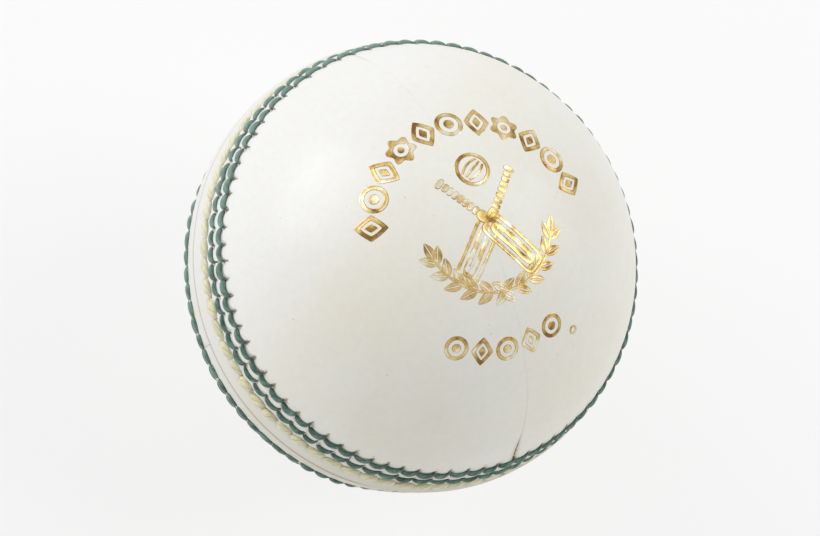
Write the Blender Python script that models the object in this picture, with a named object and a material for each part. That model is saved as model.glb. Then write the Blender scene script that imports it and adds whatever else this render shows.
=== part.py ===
"""Four-piece leather cricket ball with a layered cork and yarn core.

The origin is the ball's centre. +Z is the axis through the two crowns of the case, so the
join between the two leather cups lies in the XY plane. The upper cup's quarter seam lies in
the YZ plane and the lower cup's in the XZ plane. Sizes are in metres.
"""

import math

import bmesh
import bpy
from mathutils import Matrix, Vector

MM = 0.001

# Overall size of the case
ball_diameter = 71.6 * MM  # crown to crown over the plain leather
ridge_rise = 0.45 * MM  # how far the leather swells at the join of the two cups
ridge_margin = 3.0 * MM  # from the outermost groove to where the swelling has died away

# Leather, and the strip that backs it behind the seam
crown_leather = 4.2 * MM
backing_strip = 0.6 * MM
strip_inset = 1.0 * MM  # from the join to the strip's edge
strip_margin = 2.0 * MM  # from the outermost groove to the strip's other edge

# Seam, measured along the leather from the join
join_land = 3.45 * MM  # plain leather between the join and the closing row's groove
closing_rib = 0.3 * MM  # leather left between the closing row and the inner row
row_rib = 0.65 * MM  # leather left between the inner row and the outer row
closing_width = 1.9 * MM  # of the closing row's stitches, along the leather
row_width = 1.2 * MM
thread_height = 1.0 * MM
thread_proud = 0.55 * MM  # how far each row stands above the leather
bobbin_thread = 0.4 * MM
quarter_thread = 0.6 * MM

# Core layers, from the outside in; the nucleus takes what is left
outer_winding = 4.2 * MM
outer_cork = 2.5 * MM
middle_winding = 2.9 * MM
inner_cork = 2.5 * MM
inner_winding = 3.7 * MM
yarn_eye = 1.5 * MM  # radius of the opening where a winding's loose end is tucked in

fit_gap = 0.3 * MM  # clearance between any two pieces that lie against each other

# Facets round each turned piece, and steps along its outline
case_segments = 32
core_segments = 24
crown_steps = 8
core_steps = 4  # from a core layer's middle to its top
thread_sides = 6

ball_radius = ball_diameter / 2
closing_half = closing_width / 2 + fit_gap
row_half = row_width / 2 + fit_gap
closing_arc = join_land + closing_half
inner_arc = closing_arc + closing_half + closing_rib + row_half
outer_arc = inner_arc + row_half + row_rib + row_half
seam_edge = outer_arc + row_half
ridge_reach = seam_edge + ridge_margin
strip_end = seam_edge + strip_margin
pared_end = strip_end + fit_gap

# The leather is pared inside the seam by just what lies between it and the core there
crown_radius = ball_radius - crown_leather
core_radius = crown_radius - fit_gap
bobbin_radius = crown_radius + bobbin_thread / 2
strip_inner = crown_radius + bobbin_thread + fit_gap
strip_outer = strip_inner + backing_strip
pared_radius = strip_outer + fit_gap

# Turns an upper piece into the lower one: half a turn about the line X = Y
HALF_TURN = Matrix.Rotation(math.pi, 4, Vector((1, 1, 0)))


def clear_scene():
    for item in list(bpy.data.objects):
        bpy.data.objects.remove(item)


def material(name, colour, roughness):
    made = bpy.data.materials.new(name)
    made.use_nodes = True
    shader = made.node_tree.nodes["Principled BSDF"]
    shader.inputs["Base Color"].default_value = (*colour, 1)
    shader.inputs["Roughness"].default_value = roughness
    shader.inputs["Metallic"].default_value = 0.0
    return made


def place(name, shape, finish=None, lower=False):
    """Puts a copy of a mesh or a curve in the scene, as an upper or a lower piece."""
    item = bpy.data.objects.new(name, shape.copy())
    bpy.context.scene.collection.objects.link(item)
    item.data.materials.append(finish)
    if lower:
        item.matrix_world = HALF_TURN
    return item


def mesh_from(shape):
    """Ends the work on a bmesh: closed and facing outwards, shaded smooth but for its corners."""
    bmesh.ops.recalc_face_normals(shape, faces=shape.faces)
    mesh = bpy.data.meshes.new("piece")
    shape.to_mesh(mesh)
    shape.free()
    mesh.shade_smooth()
    mesh.set_sharp_from_angle(angle=math.radians(40))
    return mesh


def turned(outline, segments, closed=False):
    """A mesh made by spinning an outline of (distance, height) points once round the Z axis.

    A closed outline makes a ring. An open one starts and ends on the axis.
    """
    shape = bmesh.new()
    points = [shape.verts.new((distance, 0, height)) for distance, height in outline]
    pairs = list(zip(points, points[1:]))
    if closed:
        pairs.append((points[-1], points[0]))
    edges = [shape.edges.new(pair) for pair in pairs]
    bmesh.ops.spin(
        shape,
        geom=points + edges,
        axis=(0, 0, 1),
        cent=(0, 0, 0),
        angle=math.tau,
        steps=segments,
        use_merge=True,
    )
    bmesh.ops.remove_doubles(shape, verts=shape.verts, dist=1e-6)
    return mesh_from(shape)


def at(arc, radius):
    """The (distance from the axis, height) of a point this far along the leather from the join."""
    angle = arc / ball_radius
    return radius * math.cos(angle), radius * math.sin(angle)


def arc_points(radius, start, end, steps):
    """Points on a circle of this radius, between two distances along the leather."""
    return [at(start + (end - start) * k / steps, radius) for k in range(steps + 1)]


def skin(arc):
    """Outer radius of the leather: a sphere that swells in a smooth ridge at the join."""
    return ball_radius + ridge_rise * (1 + math.cos(math.pi * arc / ridge_reach)) / 2


def groove(centre, half):
    """Corners of the square groove that a row lies in, from its crown side to its join side."""
    floor = skin(centre) + thread_proud - thread_height - fit_gap
    return [
        at(centre + half, skin(centre + half)),
        at(centre + half, floor),
        at(centre - half, floor),
        at(centre - half, skin(centre - half)),
    ]


def cup_mesh():
    """One whole leather cup: smooth crown, three grooves, rim at the join, pared inner edge."""
    quarter_turn = ball_radius * math.pi / 2
    rim = fit_gap / 2
    crown = arc_points(ball_radius, ridge_reach, quarter_turn, crown_steps)[:-1]
    inside = arc_points(crown_radius, pared_end, quarter_turn, crown_steps)[:-1]
    outline = [(0, ball_radius)] + crown[::-1]
    for centre, half in ((outer_arc, row_half), (inner_arc, row_half), (closing_arc, closing_half)):
        outline += groove(centre, half)
    outline += [at(join_land / 2, skin(join_land / 2)), (skin(0), rim), (pared_radius, rim)]
    outline += arc_points(pared_radius, 0, pared_end, 3)[1:]
    outline += inside + [(0, crown_radius)]
    return turned(outline, case_segments)


def quarter_mesh(cup, side):
    """Half of a cup, cut down the quarter seam on the side of +X (side 1) or -X (side -1)."""
    shape = bmesh.new()
    shape.from_mesh(cup)
    cut = bmesh.ops.bisect_plane(
        shape,
        geom=shape.verts[:] + shape.edges[:] + shape.faces[:],
        plane_co=(side * fit_gap / 2, 0, 0),
        plane_no=(side, 0, 0),
        clear_inner=True,
    )
    rim = [edge for edge in cut["geom_cut"] if isinstance(edge, bmesh.types.BMEdge)]
    bmesh.ops.edgeloop_fill(shape, edges=rim)
    return mesh_from(shape)


def channel_cutter():
    """A flat ring that cuts the channel for the quarter seam's thread. It is turned about X."""
    half = quarter_thread / 2 + fit_gap
    inside = crown_radius - fit_gap
    outside = crown_radius + quarter_thread + fit_gap
    outline = [(inside, -half), (outside, -half), (outside, half), (inside, half)]
    mesh = turned(outline, 2 * case_segments, closed=True)
    mesh.transform(Matrix.Rotation(math.pi / 2, 4, "Y"))
    return mesh


def ring_mesh(arc, radius, width, height, sides):
    """A thread that runs round the ball: an oval section of the given width and height."""
    turns = [math.tau * k / sides for k in range(sides)]
    outline = [at(arc + width / 2 * math.cos(t), radius + height / 2 * math.sin(t)) for t in turns]
    return turned(outline, case_segments, closed=True)


def row_mesh(arc, width):
    """A row of over-stitches, as a plain ring of their width and height."""
    radius = skin(arc) + thread_proud - thread_height / 2
    return ring_mesh(arc, radius, width, thread_height, thread_sides)


def strip_mesh():
    """The linen strip that backs one cup's rows of stitching."""
    outline = arc_points(strip_outer, strip_inset, strip_end, 3)
    outline += arc_points(strip_inner, strip_end, strip_inset, 3)
    return turned(outline, case_segments, closed=True)


def quarter_thread_curve():
    """The thread inside a cup that joins its two quarters, over the crown from strip to strip."""
    radius = crown_radius + quarter_thread / 2
    start = (pared_end + 2 * quarter_thread) / ball_radius
    steps = 3 * crown_steps
    curve = bpy.data.curves.new("piece", "CURVE")
    curve.dimensions = "3D"
    curve.bevel_depth = quarter_thread / 2
    curve.bevel_resolution = 1
    curve.use_fill_caps = True
    line = curve.splines.new("POLY")
    line.points.add(steps)
    for k, point in enumerate(line.points):
        angle = start + (math.pi - 2 * start) * k / steps
        point.co = (0, radius * math.cos(angle), radius * math.sin(angle), 1)
    return curve


def layer_points(radius, lowest):
    """The outline of a core layer from one height to the top, in steps that all layers share."""
    angles = [math.pi / 2 * k / core_steps for k in range(-core_steps, core_steps)]
    above = [angle for angle in angles if radius * math.sin(angle) > lowest + fit_gap]
    return [(radius * math.cos(angle), radius * math.sin(angle)) for angle in above]


def winding_mesh(outer, inner):
    """A wound layer: a ball-shaped shell with a small eye at its top."""
    outline = [(0, -outer)] + layer_points(outer, -outer)
    outline += [(yarn_eye, math.sqrt(outer**2 - yarn_eye**2))]
    outline += [(yarn_eye, math.sqrt(inner**2 - yarn_eye**2))]
    outline += layer_points(inner, -inner)[::-1] + [(0, -inner)]
    return turned(outline, core_segments)


def cork_mesh(outer, inner):
    """Half of a cork layer: a bowl that meets the other half at the level of the join."""
    rim = fit_gap / 2
    outline = [(0, outer)] + layer_points(outer, rim)[::-1]
    outline += [(math.sqrt(outer**2 - rim**2), rim), (math.sqrt(inner**2 - rim**2), rim)]
    outline += layer_points(inner, rim) + [(0, inner)]
    return turned(outline, core_segments)


def nucleus_mesh(radius):
    outline = [(0, -radius)] + layer_points(radius, -radius) + [(0, radius)]
    return turned(outline, core_segments)


def build_core(finishes):
    """Works inwards from the case: each layer starts one gap inside the last."""
    outer = core_radius
    for name, thickness, finish in (
        ("outer_winding", outer_winding, "yarn"),
        ("outer_cork", outer_cork, "cork"),
        ("middle_winding", middle_winding, "yarn"),
        ("inner_cork", inner_cork, "cork"),
        ("inner_winding", inner_winding, "yarn"),
    ):
        inner = outer - thickness
        if finish == "yarn":
            place(name, winding_mesh(outer, inner), finishes[finish])
        else:
            half = cork_mesh(outer, inner)
            place(f"{name}_upper", half, finishes[finish])
            place(f"{name}_lower", half, finishes[finish], lower=True)
        outer = inner - fit_gap
    place("core_nucleus", nucleus_mesh(outer), finishes["cork_rubber"])


def build_case(finishes):
    cup = cup_mesh()
    right, left = quarter_mesh(cup, 1), quarter_mesh(cup, -1)
    channel = channel_cutter()
    for lower, pieces in (
        (False, (("upper_right", right), ("upper_left", left))),
        (True, (("lower_back", right), ("lower_front", left))),
    ):
        cutter = place("channel_cutter", channel, lower=lower)
        cutter.hide_render = True
        cutter.display_type = "WIRE"
        for name, quarter in pieces:
            item = place(f"leather_quarter_{name}", quarter, finishes["leather"], lower)
            cut = item.modifiers.new("quarter_thread_channel", "BOOLEAN")
            cut.operation = "DIFFERENCE"
            cut.object = cutter


def build_seam(finishes):
    strip = strip_mesh()
    closing_row = row_mesh(closing_arc, closing_width)
    inner_row = row_mesh(inner_arc, row_width)
    outer_row = row_mesh(outer_arc, row_width)
    inner_bobbin = ring_mesh(inner_arc, bobbin_radius, bobbin_thread, bobbin_thread, 4)
    outer_bobbin = ring_mesh(outer_arc, bobbin_radius, bobbin_thread, bobbin_thread, 4)
    quarter_line = quarter_thread_curve()
    for half, lower, closing_finish in (("upper", False, "cream_thread"), ("lower", True, "green_thread")):
        place(f"closing_row_{half}", closing_row, finishes[closing_finish], lower)
        place(f"inner_row_{half}", inner_row, finishes["green_thread"], lower)
        place(f"outer_row_{half}", outer_row, finishes["green_thread"], lower)
        place(f"backing_strip_{half}", strip, finishes["linen"], lower)
        place(f"inner_bobbin_{half}", inner_bobbin, finishes["cream_thread"], lower)
        place(f"outer_bobbin_{half}", outer_bobbin, finishes["cream_thread"], lower)
        place(f"quarter_thread_{half}", quarter_line, finishes["cream_thread"], lower)


def main():
    clear_scene()
    finishes = {
        "leather": material("white_leather", (0.80, 0.78, 0.71), 0.38),
        "green_thread": material("green_thread", (0.05, 0.19, 0.14), 0.6),
        "cream_thread": material("cream_thread", (0.62, 0.58, 0.38), 0.6),
        "linen": material("linen", (0.66, 0.58, 0.44), 0.9),
        "yarn": material("worsted_yarn", (0.55, 0.47, 0.36), 0.95),
        "cork": material("cork", (0.48, 0.31, 0.17), 0.9),
        "cork_rubber": material("cork_rubber", (0.22, 0.13, 0.08), 0.85),
    }
    build_core(finishes)
    build_case(finishes)
    build_seam(finishes)


main()
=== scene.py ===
import math
import bpy
import numpy as np
from mathutils import Matrix, Vector


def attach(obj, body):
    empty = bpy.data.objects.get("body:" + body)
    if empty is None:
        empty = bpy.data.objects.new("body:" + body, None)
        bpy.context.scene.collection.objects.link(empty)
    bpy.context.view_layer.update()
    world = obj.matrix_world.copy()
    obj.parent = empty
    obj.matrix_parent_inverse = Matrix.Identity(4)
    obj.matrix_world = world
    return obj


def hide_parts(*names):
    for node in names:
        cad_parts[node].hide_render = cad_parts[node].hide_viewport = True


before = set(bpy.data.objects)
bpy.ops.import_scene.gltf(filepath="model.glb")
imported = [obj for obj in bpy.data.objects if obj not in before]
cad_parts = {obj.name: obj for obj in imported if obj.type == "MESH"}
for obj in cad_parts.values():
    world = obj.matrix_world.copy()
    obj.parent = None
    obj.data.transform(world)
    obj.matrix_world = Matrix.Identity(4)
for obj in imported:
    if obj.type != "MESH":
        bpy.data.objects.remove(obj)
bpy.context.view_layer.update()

# Lengths are in millimetres on the ball, and places are given by three numbers: the azimuth round
# the Z axis in radians, the arc along the leather from the join, and the lift above the bare sphere.
mm = 0.001
fullTurn = 2 * math.pi

ball = {
    "radius": 35.78,
    "ridgeRise": 0.49,  # swelling of the leather at the join
    "ridgeReach": 13.5,  # arc at which the swelling has died away
    "paredThickness": 2.6,  # of the leather inside the seam
    "crownThickness": 4.15,
    "paredEnd": (12.5, 13.3),  # arcs between which the leather grows to its full thickness
    "channelDepth": 0.95,  # room behind the quarter seam for its thread
    "channelWidth": 0.8,
    "unevenness": 0.035,
    "unevenWaves": ((0.7, 26, 3), (0.3, 9, 4)),  # share, wavelength and seed of each part of that
    "diePress": 0.05,  # how far the stamping die flattens the crown
    "dieArcs": (26, 36),  # arcs between which that comes on
    "lowDepth": 0.44,  # how far the lower cup sits below the upper one on one side
    "lowTurns": (42, 60, 130, 160),  # degrees from seatMiddle at which that starts, is full, ends, is gone
    "lowReach": 6.5,  # arc from the join at which it has died away
    "joinGap": 0.03,
    "joinRounding": (0.16, 0.20),  # depth, width
    "quarterRounding": (0.022, 0.12),
}
toCrown = ball["radius"] * math.pi / 2  # arc from the join to the crown

# One entry per row of over-stitches. side is 1 on the upper cup and -1 on the lower one. seat is how
# far the row is pulled deeper into the leather away from the azimuth seatMiddle: the depth, and the
# two turns in degrees between which it grows from nothing to that depth.
seatMiddle = -173
seamRows = {
    "outer_row_upper": {
        "side": 1, "arc": 9.6, "count": 80, "style": "hook", "thread": "green",
        "size": 1.0, "lift": 0.0, "seat": (0.0, 90, 110), "seed": 11,
    },
    "inner_row_upper": {
        "side": 1, "arc": 7.15, "count": 80, "style": "hook", "thread": "green",
        "size": 0.86, "lift": -0.02, "seat": (0.30, 80, 106), "seed": 12,
    },
    "closing_row_upper": {
        "side": 1, "arc": 4.7, "count": 72, "style": "leaf", "thread": "cream",
        "size": 1.17, "lift": -0.14, "seat": (0.40, 52, 86), "seed": 13,
    },
    "closing_row_lower": {
        "side": -1, "arc": 4.7, "count": 84, "style": "leaf", "thread": "green",
        "size": 1.0, "lift": -0.09, "seat": (0.55, 38, 57), "seed": 14,
    },
    "inner_row_lower": {
        "side": -1, "arc": 7.15, "count": 80, "style": "hook", "thread": "green",
        "size": 0.86, "lift": -0.12, "seat": (0.30, 30, 55), "seed": 15,
    },
    "outer_row_lower": {
        "side": -1, "arc": 9.6, "count": 80, "style": "hook", "thread": "green",
        "size": 1.0, "lift": -0.12, "seat": (0.30, 30, 55), "seed": 16,
    },
}

# Each stitch is a path of stations: along the row, off the row's line towards the crown,
# half width, half height and lift of its middle above the leather.
stitchStyles = {
    "hook": np.array([
        (-0.30, 0.10, 0.14, 0.14, -0.30),
        (0.02, -0.08, 0.34, 0.28, -0.12),
        (0.42, -0.30, 0.44, 0.36, 0.00),
        (0.90, -0.46, 0.48, 0.40, 0.05),
        (1.38, -0.47, 0.49, 0.40, 0.05),
        (1.82, -0.34, 0.47, 0.38, 0.03),
        (2.16, -0.10, 0.40, 0.33, -0.01),
        (2.38, 0.28, 0.29, 0.26, -0.05),
        (2.48, 0.70, 0.22, 0.20, -0.05),
        (2.55, 1.14, 0.17, 0.15, -0.04),
        (2.60, 1.62, 0.07, 0.07, -0.10),
    ]),
    "leaf": np.array([
        (-0.28, -0.36, 0.10, 0.10, -0.26),
        (0.02, -0.28, 0.42, 0.28, -0.08),
        (0.42, -0.20, 0.70, 0.40, 0.08),
        (0.92, -0.12, 0.88, 0.46, 0.14),
        (1.48, -0.02, 0.93, 0.47, 0.15),
        (2.02, 0.10, 0.86, 0.45, 0.12),
        (2.52, 0.24, 0.64, 0.38, 0.04),
        (2.90, 0.40, 0.34, 0.26, -0.08),
        (3.22, 0.54, 0.08, 0.09, -0.24),
    ]),
}
stylePitch = {"hook": 2.7, "leaf": 3.1}


def unit(vectors):
    # Each vector over its own length.
    return vectors / np.linalg.norm(vectors, axis=-1, keepdims=True)


def softNoise(points, size, seed, waves=14):
    # Sum of waves random sines, each with a wavelength of 0.7 to 1.5 times size and its own way and
    # phase, scaled so that most values lie between -1 and 1.
    rng = np.random.default_rng(seed)
    ways = unit(rng.normal(size=(waves, 3)))
    ways *= fullTurn / (size * rng.uniform(0.7, 1.5, size=(waves, 1)))
    phases = rng.uniform(0, fullTurn, waves)
    return np.sin(points @ ways.T + phases).sum(axis=-1) / math.sqrt(waves)


def onBall(azimuth, arc, lift):
    # Point at radius (ball radius + lift), latitude arc / radius and the given azimuth.
    latitude = arc / ball["radius"]
    reach = ball["radius"] + lift
    return np.stack([
        reach * np.cos(latitude) * np.cos(azimuth),
        reach * np.cos(latitude) * np.sin(azimuth),
        reach * np.sin(latitude),
    ], axis=-1)


def bump(distance, width):
    # Bell curve of height 1: exp(-(distance / width) squared).
    return np.exp(-(distance / width) ** 2)


def smoothStep(value, low, high):
    # 0 below low, 1 above high, and 3t^2 - 2t^3 between.
    t = np.clip((value - low) / (high - low), 0, 1)
    return t * t * (3 - 2 * t)


def rowPhase(azimuth, row):
    # Stitches counted round the row from azimuth 0, with a slight unevenness in their spacing.
    wander = 0.10 * np.sin(3 * azimuth + row["seed"]) + 0.07 * np.sin(7 * azimuth + 2 * row["seed"])
    return azimuth / fullTurn * row["count"] + wander


def rowAzimuth(phase, row):
    # Inverse of rowPhase by three fixed-point steps.
    azimuth = phase * fullTurn / row["count"]
    for _ in range(3):
        wander = rowPhase(azimuth, row) - azimuth / fullTurn * row["count"]
        azimuth = (phase - wander) * fullTurn / row["count"]
    return azimuth


def stationAt(style, share):
    # Stations of a stitch read at shares 0 to 1 of its length, joined by a smooth (Hermite) curve.
    stations = stitchStyles[style]
    knots = np.linspace(0, 1, len(stations))
    slopes = np.gradient(stations, knots, axis=0)
    k = np.clip(np.searchsorted(knots, share, side="right") - 1, 0, len(knots) - 2)
    span = knots[k + 1] - knots[k]
    t = ((share - knots[k]) / span)[..., None]
    span = span[..., None]
    return (
        (2 * t**3 - 3 * t**2 + 1) * stations[k]
        + (t**3 - 2 * t**2 + t) * span * slopes[k]
        + (3 * t**2 - 2 * t**3) * stations[k + 1]
        + (t**3 - t**2) * span * slopes[k + 1]
    )


def rowSeat(azimuth, row):
    # How far the row lies below its usual height: the seat's depth times a smooth step of the turn
    # away from the seat's middle.
    depth, start, end = row["seat"]
    away = np.degrees(np.arccos(np.cos(azimuth - math.radians(seatMiddle))))
    return depth * smoothStep(away, start, end)


def turnFrom(azimuth, middle):
    # Turn from a middle given in degrees, in radians between -pi and pi.
    return np.angle(np.exp(1j * (azimuth - math.radians(middle))))


def lowSide(azimuth, arc):
    # How far the lower cup lies below the upper one: its depth times a smooth step up and a smooth
    # step down of the turn from the seat's middle, times exp(-(arc / reach) to the fourth power).
    turn = np.degrees(turnFrom(azimuth, seatMiddle))
    start, full, end, gone = ball["lowTurns"]
    around = ball["lowDepth"] * smoothStep(turn, start, full) * (1 - smoothStep(turn, end, gone))
    return around * np.exp(-((arc / ball["lowReach"]) ** 4))


def rowLine(azimuth, row):
    # At an azimuth: the share of the way from one stitch to the next, how far the middle of the
    # thread is off the row's line, and its half width.
    phase = rowPhase(azimuth, row) % 1.0
    stations = stitchStyles[row["style"]]
    along = phase * stylePitch[row["style"]]
    offset = np.interp(along, stations[:, 0], stations[:, 1]) * row["size"]
    halfWidth = np.interp(along, stations[:, 0], stations[:, 2]) * row["size"]
    return phase, offset, halfWidth


# Each end of a quarter: how open its seam is there, and how many millimetres the seam is off its
# plane, towards a greater azimuth, at some arcs.
seamEnds = {
    "stampedOpen": {
        "open": 1.0,
        "arcs": (9.0, 10.8, 13.4, 16.5, 20.3, 24.0, 28.0, 32.0, 40.6, 43.3, 47.0, 56.2),
        "off": (0.0, -0.22, -0.45, -0.38, 0.03, 0.20, 0.32, 0.28, 0.30, 0.12, 0.0, 0.0),
    },
    "stampedClosed": {
        "open": 0.25, "arcs": (9.0, 14.0, 20.0, 32.0, 47.0, 56.2), "off": (0.0, 0.25, 0.1, -0.2, 0.0, 0.0),
    },
    "plainOpen": {
        "open": 0.5, "arcs": (9.0, 13.0, 18.0, 30.0, 47.0, 56.2), "off": (0.0, 0.3, 0.1, -0.25, 0.0, 0.0),
    },
    "plainClosed": {
        "open": 0.25, "arcs": (9.0, 13.0, 22.0, 47.0, 56.2), "off": (0.0, -0.2, 0.15, 0.0, 0.0),
    },
}

crackShape = {
    "from": 11.5,  # arc at which the stitching lets go of the seam
    "shut": 0.04,  # how open it is everywhere, then what a wide part and a long tail add, and their reach
    "wide": (0.74, 5.8),
    "tail": (0.22, 8.0),
    "smoothing": (-1.6, -0.8, 0, 0.8, 1.6),  # steps of arc over which the seam's course is averaged
    "torn": ((0.06, 4.3, 0), (0.05, 7.9, 1)),  # depth, radians per millimetre and phase of its jags
    "halfGap": (0.0015, 0.085),  # shut, and what an opening of 1 adds
    "gapWaves": (0.6, 5.1, 2.3),  # depth and radians per millimetre of the two waves in the gap
    "rounding": (0.4, 2.2),  # times ball's quarterRounding: shut, and what an opening of 1 adds
    "dark": (0.95, 0.06, 0.24),  # strength of the dark edge, its width shut, and what opening adds
}


def seamWander(end, arc):
    # The seam's way off its plane at an arc: straight lines between the end's values, averaged over
    # the smoothing steps, plus the jags, which are sines as deep as the seam is open.
    values = seamEnds[end]
    spread = [np.interp(arc + step, values["arcs"], values["off"]) for step in crackShape["smoothing"]]
    torn = sum(depth * np.sin(waves * arc + phase) for depth, waves, phase in crackShape["torn"])
    return np.mean(spread, axis=0) + torn * seamOpening(end, arc)


def seamOpening(end, arc):
    # 1 where the seam gapes just above the stitching, falling over the crown as a fourth-power bell
    # and an exponential.
    beyond = np.clip(arc - crackShape["from"], 0, None)
    wide, wideReach = crackShape["wide"]
    tail, tailReach = crackShape["tail"]
    falling = wide * np.exp(-((beyond / wideReach) ** 4))
    return seamEnds[end]["open"] * (crackShape["shut"] + falling + tail * np.exp(-beyond / tailReach))


def ridge(arc):
    # Half a cosine that falls from the ridge's rise at the join to nothing at its reach.
    turn = math.pi * np.clip(arc, 0, ball["ridgeReach"]) / ball["ridgeReach"]
    return ball["ridgeRise"] * (1 + np.cos(turn)) / 2


# What the stitching does to the leather beside it, in millimetres.
stitchMarks = {
    "furrow": {"depth": 0.26, "perSeat": 0.6, "margin": 0.16},  # perSeat: more where the row is seated
    # Each hole's dark spot, its strength and width, is partly stain and partly painted shade in the hole.
    "hole": {"off": 0.72, "depth": 0.18, "width": 0.26, "holeStainAndShade": 0.85, "darkWidth": 0.34},
    "leafHole": {"holeStainAndShade": 0.5, "darkWidth": 0.5},
    "tuck": {"depth": 0.05, "start": 0.5, "reach": 0.9},  # pulled in at each hole of the outer rows
    "pinch": {"depth": 0.06, "reach": 1.6},  # pulled in all along them
    "fold": {"height": 0.05, "phase": 0.45, "below": 1.5, "width": 0.6},  # between the leaf stitches
    "rib": {"arcs": (8.4, 5.95), "height": 0.10, "width": 0.34},  # soft ridges between the rows
}
outerRowArc = 9  # a row beyond this arc is an outer one


def leatherLift(azimuth, arc, side):
    # Height of the leather over the bare sphere: the ridge at the join, minus a furrow under every
    # row, holes and tucks, plus folds and ribs as bell curves, and slight unevenness. It returns the
    # lift and how dark the needle holes are, which is partly stain and partly painted shade in the holes.
    furrow, hole, leafHole, tuck, pinch, fold, rib = stitchMarks.values()
    lift = ridge(arc)
    holeStainAndShade = np.zeros_like(lift)
    for row in seamRows.values():
        if row["side"] != side:
            continue
        phase, offset, halfWidth = rowLine(azimuth, row)
        off = arc - row["arc"]
        deep = furrow["depth"] + furrow["perSeat"] * rowSeat(azimuth, row)
        lift = lift - deep * np.exp(-np.abs((off - offset) / (halfWidth + furrow["margin"])) ** 4)
        nearHole = np.minimum(phase, 1 - phase) * stylePitch[row["style"]]
        # A dark spot at each hole: partly stain, partly painted shade.
        if row["style"] == "leaf":
            holeDark = leafHole["holeStainAndShade"] * bump(np.hypot(nearHole, off), leafHole["darkWidth"])
            swell = 0.5 + 0.5 * np.cos(fullTurn * (phase - fold["phase"]))
            lift = lift + fold["height"] * swell * bump(off + fold["below"], fold["width"])
        else:
            fromHole = np.hypot(nearHole, off - hole["off"] * row["size"])
            holeDark = hole["holeStainAndShade"] * bump(fromHole, hole["darkWidth"])
            lift = lift - hole["depth"] * bump(fromHole, hole["width"])
        holeStainAndShade = np.maximum(holeStainAndShade, holeDark)
        if row["arc"] > outerRowArc:
            pulled = 0.5 + 0.5 * np.cos(fullTurn * phase)
            dying = np.exp(-np.clip(off - tuck["start"], 0, None) / tuck["reach"])
            lift = lift - tuck["depth"] * pulled * dying * (off > 0)
            lift = lift - pinch["depth"] * np.exp(-np.clip(off, 0, None) / pinch["reach"]) * (off > 0)
    for middle in rib["arcs"]:
        lift = lift + rib["height"] * bump(arc - middle, rib["width"])
    depth, width = ball["joinRounding"]
    lift = lift - depth * np.exp(-arc / width)
    if side > 0:
        lift = lift - ball["diePress"] * smoothStep(arc, *ball["dieArcs"])
    else:
        lift = lift - lowSide(azimuth, arc)
    spots = onBall(azimuth, side * arc, 0)
    uneven = sum(share * softNoise(spots, size, seed) for share, size, seed in ball["unevenWaves"])
    return lift + ball["unevenness"] * uneven - ball["unevenness"], holeStainAndShade


def newObject(name, data):
    # An object that shows some data in the scene.
    item = bpy.data.objects.new(name, data)
    bpy.context.scene.collection.objects.link(item)
    return item


def makeObject(name, points, faces, materials, body="root", replaces=()):
    # A smooth piece from points in millimetres and faces as lists of point numbers, fixed to a body.
    mesh = bpy.data.meshes.new(name)
    mesh.from_pydata((np.asarray(points).reshape(-1, 3) * mm).tolist(), [], faces)
    mesh.update()
    item = newObject(name, mesh)
    for finish in materials:
        mesh.materials.append(finish)
    mesh.shade_smooth()
    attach(item, body)
    if replaces:
        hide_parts(*replaces)
    return item


def setAttribute(item, name, values):
    # Stores a number for each point of a piece, for its finish to read.
    layer = item.data.attributes.new(name, "FLOAT", "POINT")
    layer.data.foreach_set("value", np.asarray(values, np.float32).ravel())


def gridFaces(rows, columns, wrapColumns=False):
    # Quads of a grid of rows x columns points, numbered row by row; the last column may meet the first.
    start = np.arange(rows - 1)[:, None] * columns
    j = np.arange(columns if wrapColumns else columns - 1)
    following = (j + 1) % columns
    corners = (start + j, start + following, start + columns + following, start + columns + j)
    return np.stack(corners, axis=-1).reshape(-1, 4)


def newMaterial(name):
    # A material, its node tree and its main shader.
    finish = bpy.data.materials.new(name)
    finish.use_nodes = True
    return finish, finish.node_tree, finish.node_tree.nodes["Principled BSDF"]


def fill(tree, node, values):
    # Gives each named socket of a node its value: a constant, or a link from another socket.
    for key, value in values.items():
        socket = node.inputs[key]
        if isinstance(value, bpy.types.NodeSocket):
            tree.links.new(value, socket)
        elif socket.type == "RGBA" and len(value) == 3:
            socket.default_value = (*value, 1)
        else:
            socket.default_value = value


def addNode(tree, kind, values=None, **settings):
    # A node of one kind; settings name its properties and values fill its sockets.
    node = tree.nodes.new(kind)
    for key, value in settings.items():
        setattr(node, key, value)
    fill(tree, node, values or {})
    return node


def onObject(tree):
    # The place on the ball itself, in metres.
    return addNode(tree, "ShaderNodeTexCoord").outputs["Object"]


def attribute(tree, name):
    # What the mesh stores under a name.
    return addNode(tree, "ShaderNodeAttribute", attribute_name=name).outputs["Fac"]


def maths(tree, operation, first, second=0.0):
    # One step of arithmetic on numbers.
    return addNode(tree, "ShaderNodeMath", {0: first, 1: second}, operation=operation).outputs[0]


def vectorMaths(tree, operation, first, second=(0, 0, 0)):
    # One step of arithmetic on places; a dot product gives a number.
    node = addNode(tree, "ShaderNodeVectorMath", {0: first, 1: second}, operation=operation)
    return node.outputs["Value" if operation == "DOT_PRODUCT" else "Vector"]


def ramp(tree, source, stops):
    # Colours at stops between 0 and 1 with straight lines between them; a single number is a grey.
    node = addNode(tree, "ShaderNodeValToRGB", {"Fac": source})
    marks = node.color_ramp.elements
    while len(marks) < len(stops):
        marks.new(0.5)
    for mark, (place, colour) in zip(marks, stops):
        mark.position = place
        mark.color = (*colour, 1) if len(colour) == 3 else (colour[0],) * 3 + (1,)
    return node.outputs["Color"]


def rise(tree, source, low, high):
    # 0 up to low, 1 from high on and a straight line between.
    return ramp(tree, source, [(low, (0,)), (high, (1,))])


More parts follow.
